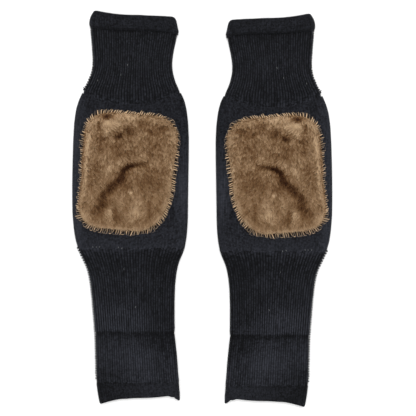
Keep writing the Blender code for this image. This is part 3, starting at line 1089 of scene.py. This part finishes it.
NAPS = (
    Nap(-20.8, 55.4, 6.0, 2.6, 0.0, -1.6),
    Nap(-17.9, 48.5, 8.0, 5.0, 0.0, 0.85),
    Nap(-17.5, 31.0, 5.0, 3.0, 0.0, 0.45),
    Nap(-37.8, 50.4, 7.0, 5.0, 45.0, 0.5),
    Nap(-28.8, 46.5, 7.0, 1.8, 80.0, -0.5),
    Nap(-20.0, 40.5, 5.0, 3.6, 0.0, 0.55),
    Nap(3.0, 48.5, 14.0, 3.4, -4.0, 0.35),
    Nap(28.0, 48.5, 5.0, 3.0, -20.0, 0.4),
    Nap(17.0, 40.5, 13.0, 3.6, -4.0, -0.45),
    Nap(35.0, 40.0, 4.5, 3.6, -30.0, -0.3),
    Nap(-4.0, 31.5, 5.0, 3.6, 0.0, -0.4),
    Nap(-14.0, 25.5, 9.0, 3.6, 0.0, -0.35),
    Nap(-28.0, 24.0, 4.0, 4.0, 0.0, -0.3),
    Nap(-3.0, 16.5, 10.0, 5.5, 0.0, -0.42),
    Nap(37.0, 19.0, 7.0, 6.0, 0.0, 0.25),
    Nap(-25.8, 32.5, 6.5, 3.5, 0.0, -0.6),
    Nap(-23.9, 35.5, 2.0, 1.6, 0.0, 0.6),
    Nap(-8.8, 36.2, 4.5, 2.8, 15.0, -1.1),
    Nap(0.5, 43.0, 8.0, 4.0, 35.0, -0.5),
    Nap(14.1, 50.4, 10.0, 4.0, 8.0, -0.42),
    Nap(27.0, 47.4, 9.0, 4.5, -8.0, -0.36),
    Nap(39.0, 44.4, 4.5, 3.2, -20.0, -0.7),
    Nap(4.0, 37.5, 6.0, 1.8, 0.0, -0.45),
    Nap(3.1, 56.5, 14.0, 4.0, -6.0, 0.6),
    Nap(15.1, 38.5, 4.5, 2.2, 0.0, 0.55),
    Nap(9.1, 27.4, 16.0, 9.0, 0.0, -0.1),
    Nap(29.0, 24.0, 10.0, 10.0, 0.0, -0.25),
    Nap(32.0, 15.5, 3.5, 2.6, 0.0, -0.45),
    Nap(-6.9, 11.5, 5.0, 4.0, 30.0, 0.4),
    Nap(-17.9, 2.6, 5.0, 3.5, 40.0, 0.75),
    Nap(1.0, -1.5, 5.0, 3.6, 50.0, 0.25),
    Nap(0.0, -14.5, 9.0, 4.0, 40.0, -0.25),
    Nap(27.0, 0.5, 6.0, 3.0, 0.0, -0.25),
    Nap(-7.0, -10.5, 6.0, 3.5, 50.0, -0.45),
    Nap(-17.5, -20.0, 6.0, 3.5, 45.0, -0.35),
    Nap(24.0, -10.0, 14.0, 9.0, 0.0, -0.42),
    Nap(35.0, -5.4, 1.8, 1.5, 0.0, 0.6),
    Nap(3.1, -21.4, 2.0, 2.0, 0.0, 0.9),
    Nap(7.1, -41.3, 8.0, 6.5, 90.0, 0.6),
    Nap(13.0, -31.5, 4.0, 3.6, 0.0, 0.35),
    Nap(12.0, -48.5, 3.6, 3.0, 0.0, -0.3),
    Nap(-18.9, -41.3, 5.5, 4.5, 90.0, 0.5),
    Nap(-11.9, -43.3, 10.0, 2.6, 90.0, -0.5),
    Nap(22.0, -39.4, 9.0, 2.2, 90.0, -0.45),
    Nap(18.0, -49.3, 3.0, 2.0, 90.0, -0.4),
    Nap(-30.8, 1.0, 12.0, 8.0, 90.0, -0.22),
    Nap(-35.0, -28.0, 6.0, 6.0, 0.0, 0.2),
    Nap(-39.4, 31.0, 12.0, 2.3, 82.0, 0.75),
    Nap(-41.6, 10.0, 13.0, 2.0, 86.0, 0.4),
    Nap(-43.0, -14.0, 12.0, 2.2, 84.0, 0.3),
    Nap(-45.6, 12.0, 36.0, 2.2, 84.0, -0.25),
    Nap(46.5, 35.5, 8.0, 3.0, 90.0, 0.15),
    Nap(45.5, -4.0, 13.0, 2.8, 82.0, 0.25),
    Nap(40.0, -28.0, 12.0, 3.0, 78.0, 0.2),
    Nap(-42.0, -44.3, 7.0, 3.5, -35.0, 0.45),
    Nap(29.0, -49.3, 7.0, 3.2, 35.0, 0.2),
)


def crease_at(patch, x, y):
    """The crease's depth at a place, from 0 to 1, and the way from its line to the place.

    Its line wanders, and its upper slope is steeper than its lower one.
    """
    x, y = x - patch.x, y - patch.y
    x = x + CREASE_WANDER * np.sin(y / 2.3) + CREASE_WAVER * np.sin(y / 1.1 + x / 3.0)
    deepest = np.zeros(x.shape)
    way = np.zeros(x.shape + (2,))
    for start, end in zip(CREASE, CREASE[1:]):
        run_x, run_y = end.x - start.x, end.y - start.y
        run = ((x - start.x) * run_x + (y - start.y) * run_y) / (run_x ** 2 + run_y ** 2)
        run = np.clip(run, 0.0, 1.0)
        away = np.stack([x - start.x - run * run_x, y - start.y - run * run_y], -1)
        distance = np.linalg.norm(away, axis=-1)
        away = away / np.maximum(distance, NEAREST)[..., None]
        half_width = start.half_width + (end.half_width - start.half_width) * run
        half_width = half_width * (1.0 - CREASE_LEAN * away[..., 1])
        depth = start.depth + (end.depth - start.depth) * run
        depth = depth * bell(distance, 0.0, half_width)
        deeper = depth > deepest
        deepest[deeper] = depth[deeper]
        way[deeper] = away[deeper]
    return deepest, way


def nap_tone(patch, x, y):
    """The painted light and shade that the nap marks put on a place."""
    tone = np.zeros(x.shape)
    for nap in NAPS:
        across, along = x - patch.x - nap.x, y - patch.y - nap.y
        turn = radians(nap.turn)
        lengthwise = (across * np.cos(turn) + along * np.sin(turn)) / nap.half_length
        sideways = (along * np.cos(turn) - across * np.sin(turn)) / nap.half_width
        tone = tone + nap.tone * bell(np.hypot(lengthwise, sideways), 0.0, 1.0, NAP_POWER)
    return NAP_GAIN * tone


def knee_top(warmer, x, y):
    """The height of the knee cloth's upper face."""
    return SINGLE.thickness + KNEE_RELIEFS[warmer.prefix](x, y, None, 0.5)


def pad_top(warmer, x, y):
    """The height of the patch's cloth, under its pile."""
    patch = PATCHES[warmer.prefix]
    inside = -beyond_patch(patch, x, y)
    rise = PAD_EDGE + (PAD_RISE - PAD_EDGE) * ramp(inside, PRESSED_WIDTH, SHOULDER_WIDTH)
    dents = CREASE_DEPTH * crease_at(patch, x, y)[0] - DENT_DEPTH * nap_tone(patch, x, y)
    off_edge = ramp(inside, PRESSED_WIDTH, MARK_TAPER)
    return knee_top(warmer, x, y) + PAD_LIFT + rise - dents * off_edge


def plush_pad_mesh(warmer, name):
    """A closed pad between the knee and its own upper face, out to the patch's edge."""
    patch = PATCHES[warmer.prefix]
    bm = bmesh.new()
    bmesh.ops.create_uvsphere(bm, u_segments=BEARINGS, v_segments=2 * PAD_RINGS, radius=1.0)
    mesh = finished_mesh(bm, name)
    ball = vertex_places(mesh)
    bearing = np.arctan2(ball[:, 1], ball[:, 0])
    steepness = np.arccos(np.clip(ball[:, 2], -1.0, 1.0)) / (pi / 2)
    share = np.where(steepness < 1.0, steepness, 2.0 - steepness)
    reach = share * np.interp(bearing, patch.bearings, patch.reaches, period=2 * pi)
    x, y = patch.x + reach * np.cos(bearing), patch.y + reach * np.sin(bearing)
    top, under = pad_top(warmer, x, y), knee_top(warmer, x, y) + PAD_LIFT
    z = np.where(steepness < 0.999, top, np.where(steepness > 1.001, under, (top + under) / 2))
    mesh.vertices.foreach_set("co", to_world(warmer, np.stack([x, y, z], 1)).ravel())
    if warmer.side > 0:
        mesh.flip_normals()
    mesh.shade_smooth()
    return mesh


def plush_ground_material():
    """The dark knitted ground that the pile grows from."""
    material, tree, shader = new_material("plush_ground", roughness=0.9, specular=0.1)
    grain = noise(tree, object_place(tree), scale=900.0, detail=3.0)
    tree.links.new(blended(tree, grain, GROUND_DARK, GROUND_PALE), shader.inputs["Base Color"])
    return material


GROUND_FINISH = plush_ground_material()
for warmer in WARMERS:
    name = warmer.prefix + "plush_ground"
    pad = new_piece(name, plush_pad_mesh(warmer, name), GROUND_FINISH)
    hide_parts(warmer.prefix + "plush_patch")


# The pile is a dense growth of fine bent fibres in small tufts. It is combed down the knee, leans
# out over the edge, and parts along the crease. Painted light and shade in the nap turn it darker
# or brighter, and painted shadow darkens its crease.
STRANDS = 47000
PILE_PIECES = 2
FIRST_PILE_SEED = 21
STRAND_LENGTH = 4.5
STRAND_HALF_WIDTH = 0.15
STRAND_TAPER = np.array([1.0, 0.8, 0.1])
ROOT_TILT = 35.0
TIP_TILT = 66.0
COMBED = (0.15, -1.0)
RIM_LEAN = 1.1
RIM_LEAN_WIDTH = 9.0
CREASE_PARTING = 0.5

# How far in from the edge the pile starts, and the bearing and the half width of each side.
ROOT_INSET = 3.4
ROOT_OUTER_INSET = 1.6
ROOT_FOOT_INSET = 3.9
ROOT_HEAD_INSET = 2.0
OUTER_PILE = (185.0, 34.0)
FOOT_PILE = (255.0, 36.0)
HEAD_PILE = (74.0, 50.0)

# The pile's colours from its darkest to its palest. A strand starts from the middle share, and
# its own tone and the way to its tip move it along.
PILE_COLOURS = (
    (0.0, (0.036, 0.011, 0.003, 1.0)),
    (0.35, (0.146, 0.069, 0.026, 1.0)),
    (0.6, (0.268, 0.158, 0.078, 1.0)),
    (1.0, (0.56, 0.395, 0.240, 1.0)),
)
PILE_SHEEN = (1.0, 0.78, 0.55, 1.0)
MIDDLE_SHARE = 0.56
MIDDLE_ALONG = 0.55
TONE_GAIN = 0.34
TIP_GAIN = 0.30

# A tuft's strands share a middle, a turn, a length and a tone, and gather towards their tips.
TUFT = 1.7
TUFT_TURN = 0.9
STRAND_TURN = 0.22
GATHER = np.array([0.0, 0.225, 0.5])
RIM_STATURE = 0.55
RIM_STATURE_WIDTH = 5.0
CREASE_STUNTING = 0.25
FINE_MOTTLE = 0.15
BROAD_MOTTLE = 0.2
CREASE_SHADOW = 2.0
CREASE_SHADOW_SPREAD = 1.4
TUFT_CONTRAST = 1.02
HEAD_CONTRAST = 0.3
HEAD_CONTRAST_REACH = 35.0
STRAND_CONTRAST = 0.15
# A band of painted highlight lies just inside the pile's rim, brightest at its foot.
RIM_HIGHLIGHT = 0.36
RIM_FOOT_HIGHLIGHT = 0.95
RIM_INSET = 5.3
RIM_HALF_WIDTH = 2.3


def strand_template():
    """A flat strand that narrows to one point at its tip."""
    bm = bmesh.new()
    bmesh.ops.create_grid(bm, x_segments=1, y_segments=2, size=1.0)
    turned = Matrix.Rotation(-pi / 2, 3, "X")
    bmesh.ops.rotate(bm, verts=bm.verts, cent=(0.0, 0.0, 0.0), matrix=turned)
    bmesh.ops.translate(bm, verts=bm.verts, vec=(0.0, 0.0, 1.0))
    bmesh.ops.scale(bm, verts=bm.verts, vec=(1.0, 1.0, 0.5))
    tip = [vert for vert in bm.verts if vert.co.z > 0.75]
    bmesh.ops.pointmerge(bm, verts=tip, merge_co=(0.0, 0.0, 1.0))
    return finished_mesh(bm, "strand_template")


def pile_side(patch, x, y):
    """How much a place belongs to the patch's outer side, its foot and its head, from 0 to 1."""
    bearing = np.degrees(np.arctan2(y - patch.y, x - patch.x)) % 360.0
    return (
        bell(bearing, *OUTER_PILE), bell(bearing, *FOOT_PILE), bell(bearing, *HEAD_PILE, power=4))


def pile_margin(patch, x, y):
    """How far in from the edge the pile starts: least on the outer side, most at the foot."""
    outer_side, foot_side, head_side = pile_side(patch, x, y)
    return (
        ROOT_INSET + (ROOT_OUTER_INSET - ROOT_INSET) * outer_side
        + (ROOT_FOOT_INSET - ROOT_INSET) * foot_side
        + (ROOT_HEAD_INSET - ROOT_INSET) * head_side)


def scattered_roots(patch, count, rng):
    """Random places on the patch, off its pressed edge."""
    reach = float(patch.reaches.max())
    tries = rng.uniform(-reach, reach, (4 * count, 2)) + (patch.x, patch.y)
    inside = -beyond_patch(patch, *tries.T)
    return tries[inside > pile_margin(patch, *tries.T)][:count]


def nearest_tufts(roots, rng):
    """The middle of each root's own tuft, and four random numbers that the tuft shares."""
    cells = np.floor(roots / TUFT).astype(int)
    low = cells.min(0) - 1
    across, along = cells.max(0) + 2 - low
    offsets = rng.random((across, along, 2))
    luck = rng.random((across, along, 4))
    nearest = np.full(len(roots), np.inf)
    tuft = np.zeros((len(roots), 2), int)
    for step in np.ndindex(3, 3):
        cell = cells + np.array(step) - 1 - low
        middle = (cell + low + offsets[cell[:, 0], cell[:, 1]]) * TUFT
        away = np.linalg.norm(roots - middle, axis=1)
        nearer = away < nearest
        nearest[nearer] = away[nearer]
        tuft[nearer] = cell[nearer]
    middles = (tuft + low + offsets[tuft[:, 0], tuft[:, 1]]) * TUFT
    return middles, luck[tuft[:, 0], tuft[:, 1]]


def lean_at(patch, places, turn):
    """The way in which the pile leans at each place, on the flat, turned by an angle."""
    x, y = places.T
    across, along = x - patch.x, y - patch.y
    outward = unit(np.stack([across, along], 1))
    depth, away = crease_at(patch, x, y)
    rim = RIM_LEAN * ramp(beyond_patch(patch, x, y), -RIM_LEAN_WIDTH, RIM_LEAN_WIDTH)
    parting = CREASE_PARTING * depth
    lean = unit(np.array(COMBED) + rim[:, None] * outward + parting[:, None] * away)
    turn = turn + 0.35 * np.sin(x / 9.0 + y / 14.0) + 0.25 * np.sin(y / 6.0 - x / 17.0)
    return np.stack([
        lean[:, 0] * np.cos(turn) - lean[:, 1] * np.sin(turn),
        lean[:, 0] * np.sin(turn) + lean[:, 1] * np.cos(turn)], 1)


def strand_paths(warmer, roots, lean, length):
    """Root, bend and tip of each strand."""
    paths = np.zeros((len(roots), 3, 3))
    paths[:, 0, :2] = roots
    paths[:, 0, 2] = pad_top(warmer, roots[:, 0], roots[:, 1])
    for point, tilt in enumerate((ROOT_TILT, TIP_TILT), 1):
        flat = (length / 2 * np.sin(radians(tilt)))[:, None] * lean
        rise = length / 2 * np.cos(radians(tilt))
        paths[:, point, :2] = paths[:, point - 1, :2] + flat
        paths[:, point, 2] = paths[:, point - 1, 2] + rise
    return paths


def mottle(x, y):
    """Soft uneven light and shade over the pile, a few millimetres across."""
    fine = np.sin(x / 1.7 + 2.0 * np.sin(y / 5.3)) * np.sin(y / 2.1 + 2.0 * np.sin(x / 6.1))
    broad = np.sin(x / 4.1 + 1.7 * np.sin(y / 9.0)) * np.sin(y / 5.2 + 1.5 * np.sin(x / 8.0))
    return FINE_MOTTLE * fine + BROAD_MOTTLE * broad


def pile_piece(warmer, number):
    """A share of a patch's strands: short at its rim, with a painted highlight just inside it, and
    short and darkened by painted shadow in its crease.
    """
    patch = PATCHES[warmer.prefix]
    rng = np.random.default_rng(FIRST_PILE_SEED + number)
    roots = scattered_roots(patch, STRANDS, rng)
    count = len(roots)
    middles, luck = nearest_tufts(roots, rng)
    tuft_turn = TUFT_TURN * (luck[:, 0] - 0.5)
    inside = -beyond_patch(patch, *roots.T)
    depth = crease_at(patch, *roots.T)[0]
    rim = ramp(inside, pile_margin(patch, *roots.T), RIM_STATURE_WIDTH)
    stature = (RIM_STATURE + (1.0 - RIM_STATURE) * rim) * (1.0 - CREASE_STUNTING * depth)
    tuft_length = STRAND_LENGTH * (0.88 + 0.24 * luck[:, 1]) * stature
    own_lean = lean_at(patch, roots, tuft_turn + rng.normal(0.0, STRAND_TURN, count))
    own = strand_paths(warmer, roots, own_lean, tuft_length * rng.uniform(0.8, 1.12, count))
    shared = strand_paths(warmer, middles, lean_at(patch, middles, tuft_turn), tuft_length)
    paths = own + GATHER[:, None] * (shared - own)
    facing = unit(np.stack([
        rng.normal(0.0, 0.5, count), rng.normal(0.0, 0.5, count), np.ones(count)], 1))
    widths = STRAND_HALF_WIDTH * rng.uniform(0.75, 1.25, count)[:, None] * STRAND_TAPER
    shown = shared[:, 1:, :2].mean(1).T
    shadow = crease_at(patch, *shown)[0] * (CREASE_SHADOW + CREASE_SHADOW_SPREAD * luck[:, 3])
    height = np.clip((shown[1] - patch.y) / HEAD_CONTRAST_REACH, -1.0, 1.0)
    tone = nap_tone(patch, *shown) + mottle(*shown) - shadow
    tone = tone + (TUFT_CONTRAST + HEAD_CONTRAST * height) * (luck[:, 2] - 0.5)
    tone = tone + rng.normal(0.0, STRAND_CONTRAST, count)
    # A painted highlight brightens the pile just inside its rim.
    rim_highlight = RIM_HIGHLIGHT + (RIM_FOOT_HIGHLIGHT - RIM_HIGHLIGHT) * pile_side(patch, *roots.T)[1]
    tone = tone + rim_highlight * bell(inside, RIM_INSET, RIM_HALF_WIDTH)
    return copies_along(
        warmer, f"plush_pile_{number + 1}", STRAND_SHAPE, paths, widths, facing, {"tone": tone},
        PILE_FINISH)


def pile_material():
    """Silky brown pile: dark at its roots, tan at its tips, by its tone and along its length."""
    material, tree, shader = new_material(
        "plush_pile", roughness=0.55, sheen=0.10, sheen_roughness=0.35, sheen_tint=PILE_SHEEN,
        specular=0.13)
    tip = math_node(tree, "ADD", attribute_value(tree, "along"), -MIDDLE_ALONG)
    share = math_node(tree, "MULTIPLY_ADD", attribute_value(tree, "tone"), TONE_GAIN, math_node(
        tree, "MULTIPLY_ADD", tip, TIP_GAIN, MIDDLE_SHARE))
    colours = add_node(tree, "ShaderNodeValToRGB", {0: share})
    stops = colours.color_ramp.elements
    stops.remove(stops[1])
    stops[0].color = PILE_COLOURS[0][1]
    for position, colour in PILE_COLOURS[1:]:
        stops.new(position).color = colour
    tree.links.new(colours.outputs[0], shader.inputs["Base Color"])
    return material


PILE_FINISH = pile_material()
STRAND_SHAPE = strand_template()
PILES = {
    warmer.prefix: [pile_piece(warmer, number) for number in range(PILE_PIECES)]
    for warmer in WARMERS}


# The patch is sewn on by overlocking with a tan thread. Short bars reach from the pile over its
# pressed edge, side by side with an uneven slant, and a looper thread chains their outer ends
# together on the knit.
OUTLINE_STEPS = 720
OUTLINE_AHEAD = 0.5
BAR_PITCH = 2.2
BAR_PITCH_SPREAD = 0.34
BAR_INNER = 4.4
BAR_INNER_SPREAD = 0.45
BAR_OUTER = -1.3
BAR_OUTER_SPREAD = 0.6
OUTER_BAR_CUT = 1.8
HEAD_BAR_CUT = 1.7
HEAD_BAR_DRAW = 0.3
BAR_SHIFT = 1.9
BAR_SHIFT_SPREAD = 0.35
BAR_HALF_WIDTH = 0.42
BAR_ARCH = 0.45
BAR_TONE = 0.8
BAR_TONE_SPREAD = 0.4
CHAIN_TONE = -0.25
CHAIN_TONE_SPREAD = 0.35
FOOT_CHAIN_TONE = 0.65
CHAIN_INSET = 0.6
CHAIN_SAG = 0.25
CHAIN_ARCH = 0.1
CHAIN_HALF_WIDTH = 0.24
FOOT_CHAIN_HALF_WIDTH = 0.30
THREAD_LIFT = 0.12
THREAD_DARK = (0.028, 0.020, 0.015, 1.0)
THREAD_PALE = (0.60, 0.415, 0.245, 1.0)
THREAD_GREY = (0.26, 0.21, 0.18, 1.0)
UPWARDS = (0.0, 0.0, 1.0)

# The bearing and the half width of each side of the seam, which differ in length and tone.
OUTER_SEAM = (185.0, 38.0)
FOOT_SEAM = (250.0, 30.0)
HEAD_SEAM = (72.0, 48.0)
UPPER_CORNER = (42.0, 20.0)

Outline = namedtuple("Outline", "run x y bearing length")


def clockwise_outline(patch):
    """The patch's edge as it is followed clockwise, with how far each place is along it."""
    bearing = -np.arange(OUTLINE_STEPS + 1) / OUTLINE_STEPS * 2 * pi
    reach = np.interp(bearing, patch.bearings, patch.reaches, period=2 * pi)
    x, y = patch.x + reach * np.cos(bearing), patch.y + reach * np.sin(bearing)
    run = np.concatenate([[0.0], np.cumsum(np.hypot(np.diff(x), np.diff(y)))])
    return Outline(run, x, y, bearing, run[-1])


def edge_places(warmer, outline, run, inset, lift):
    """Places at a run along the edge and an inset from it, laid on the patch or the knee."""
    run = np.mod(run, outline.length)
    ahead = run + OUTLINE_AHEAD
    x = np.interp(run, outline.run, outline.x)
    y = np.interp(run, outline.run, outline.y)
    ahead_x = np.interp(ahead, outline.run, outline.x, period=outline.length) - x
    ahead_y = np.interp(ahead, outline.run, outline.y, period=outline.length) - y
    scale = np.hypot(ahead_x, ahead_y)
    x, y = x + inset * ahead_y / scale, y - inset * ahead_x / scale
    on_patch = beyond_patch(PATCHES[warmer.prefix], x, y) < 0.0
    z = np.where(on_patch, pad_top(warmer, x, y), knee_top(warmer, x, y))
    return np.stack([x, y, z + lift], -1)


THREAD_FINISH = yarn_material(
    "overlock_thread", THREAD_DARK, THREAD_PALE, grey=THREAD_GREY, sheen=0.15)

for warmer in WARMERS:
    rng = np.random.default_rng(31)
    outline = clockwise_outline(PATCHES[warmer.prefix])
    count = 2 * round(outline.length / (2 * BAR_PITCH))
    run = np.arange(count) * outline.length / count + rng.normal(0.0, BAR_PITCH_SPREAD, count)
    bearing = np.degrees(np.interp(run, outline.run, outline.bearing)) % 360.0
    outer_side = bell(bearing, *OUTER_SEAM)
    foot_side = bell(bearing, *FOOT_SEAM)
    head_side = bell(bearing, *HEAD_SEAM, power=4)
    inner_end = BAR_INNER + rng.normal(0.0, BAR_INNER_SPREAD, count)
    inner_end = inner_end - OUTER_BAR_CUT * outer_side - HEAD_BAR_CUT * head_side
    outer_end = BAR_OUTER + rng.normal(0.0, BAR_OUTER_SPREAD, count) + HEAD_BAR_DRAW * head_side
    share = np.linspace(0.0, 1.0, YARN_RINGS)
    inset = inner_end[:, None] + (outer_end - inner_end)[:, None] * share
    zigzag = np.where(np.arange(count) % 2, 0.5 + 0.5 * head_side, 1.0)
    slant = BAR_SHIFT * zigzag * (1.0 + rng.normal(0.0, BAR_SHIFT_SPREAD, count))
    shift = slant[:, None] * (share - 0.5)
    arch = BAR_ARCH * np.sin(pi * share) + THREAD_LIFT
    paths = edge_places(warmer, outline, run[:, None] + shift, inset, arch)
    widths = BAR_HALF_WIDTH * rng.uniform(0.8, 1.2, count)[:, None] * YARN_TAPER
    tone = BAR_TONE - 0.3 * outer_side - 0.3 * foot_side - 0.4 * bell(bearing, *UPPER_CORNER)
    tone = tone + rng.normal(0.0, BAR_TONE_SPREAD, count)
    greyness = 0.15 * rng.random(count) + 0.25 * outer_side
    bars = copies_along(
        warmer, "overlock_bars", YARN_SHAPE, paths, widths, UPWARDS,
        {"tone": tone, "greyness": greyness}, THREAD_FINISH)

    ends = run + shift[:, -1]
    link_run = ends[:, None] + (np.roll(ends, -1) - ends)[:, None] % outline.length * share
    link_inset = outer_end[:, None] - CHAIN_SAG * np.sin(pi * share)
    link_inset = link_inset + CHAIN_INSET * (1.0 - foot_side)[:, None]
    arch = THREAD_LIFT + CHAIN_ARCH * np.sin(pi * share)
    links = edge_places(warmer, outline, link_run, link_inset, arch)
    widths = CHAIN_HALF_WIDTH + (FOOT_CHAIN_HALF_WIDTH - CHAIN_HALF_WIDTH) * foot_side
    widths = (widths * rng.uniform(0.8, 1.15, count))[:, None] * YARN_TAPER
    tone = FOOT_CHAIN_TONE * foot_side + CHAIN_TONE + rng.normal(0.0, CHAIN_TONE_SPREAD, count)
    greyness = 0.3 * rng.random(count)
    chain = copies_along(
        warmer, "overlock_chain", YARN_SHAPE, links, widths, UPWARDS,
        {"tone": tone, "greyness": greyness}, THREAD_FINISH)


# The loose ends are a short tail of yarn on the upper cuff's linked seam, a few paler first
# stitches of the lower cuff, and specks of lint that cling to the ribs.
TAIL_PLACE = (-45.6, 83.0)
TAIL_LENGTH = 2.8
TAIL_RISE = 1.6
TAIL_LEVELS = (3.6, 2.6)
TAIL_HALF_WIDTH = 0.45
FLECK_HALF_WIDTH = 0.32
FLECK_LIFT = 0.1
FLECK_CURL = 0.3
FLECK_TURN_SPREAD = 0.3
FLECK_DARK = (0.02, 0.021, 0.025, 1.0)
FLECK_PALE = (0.11, 0.115, 0.115, 1.0)
FleckSpot = namedtuple("FleckSpot", "x y length tone")
FLECKS = (
    FleckSpot(-2.8, 106.8, 2.2, 0.75),
    FleckSpot(-32.9, 91.0, 1.8, 0.7),
    FleckSpot(-9.5, 96.6, 2.0, 0.55),
    FleckSpot(-6.5, -100.4, 1.8, 0.4),
    FleckSpot(5.2, -139.0, 2.0, 0.75),
    FleckSpot(-38.0, -78.0, 1.6, 0.7),
    FleckSpot(-34.4, -78.1, 1.5, 0.6),
    FleckSpot(-31.4, -78.0, 1.5, 0.7),
    FleckSpot(-12.1, -78.5, 1.8, 0.8),
    FleckSpot(-8.5, -79.3, 1.8, 0.95),
)


def fleck_paths(rng):
    """A short curl for each fleck, laid on the ribs."""
    share = np.linspace(-0.5, 0.5, YARN_RINGS)
    level = SINGLE.thickness + RIB_RAISE + FLECK_LIFT
    paths = []
    for fleck in FLECKS:
        turn = pi / 2 + rng.normal(0.0, FLECK_TURN_SPREAD)
        curl = FLECK_CURL * fleck.length * (share ** 2 - 0.1)
        paths.append(np.stack([
            fleck.x + fleck.length * share * np.cos(turn) + curl,
            fleck.y + fleck.length * share * np.sin(turn),
            np.full(YARN_RINGS, level)], 1))
    return np.array(paths)


FLECK_FINISH = yarn_material("lint", FLECK_DARK, FLECK_PALE)

for warmer in WARMERS:
    paths = fleck_paths(np.random.default_rng(41))
    widths = np.full((len(FLECKS), 1), FLECK_HALF_WIDTH) * YARN_TAPER
    copies_along(
        warmer, "lint", YARN_SHAPE, paths, widths, UPWARDS,
        {"tone": [fleck.tone for fleck in FLECKS]}, FLECK_FINISH)

    share = np.linspace(0.0, 1.0, YARN_RINGS)
    tail = np.stack([
        TAIL_PLACE[0] - TAIL_LENGTH * share, TAIL_PLACE[1] + TAIL_RISE * share ** 1.5,
        np.linspace(*TAIL_LEVELS, YARN_RINGS)], 1)
    copies_along(
        warmer, "yarn_tail", YARN_SHAPE, tail[None], TAIL_HALF_WIDTH * YARN_TAPER[None],
        UPWARDS, {"tone": [0.5]}, LINK_FINISH)
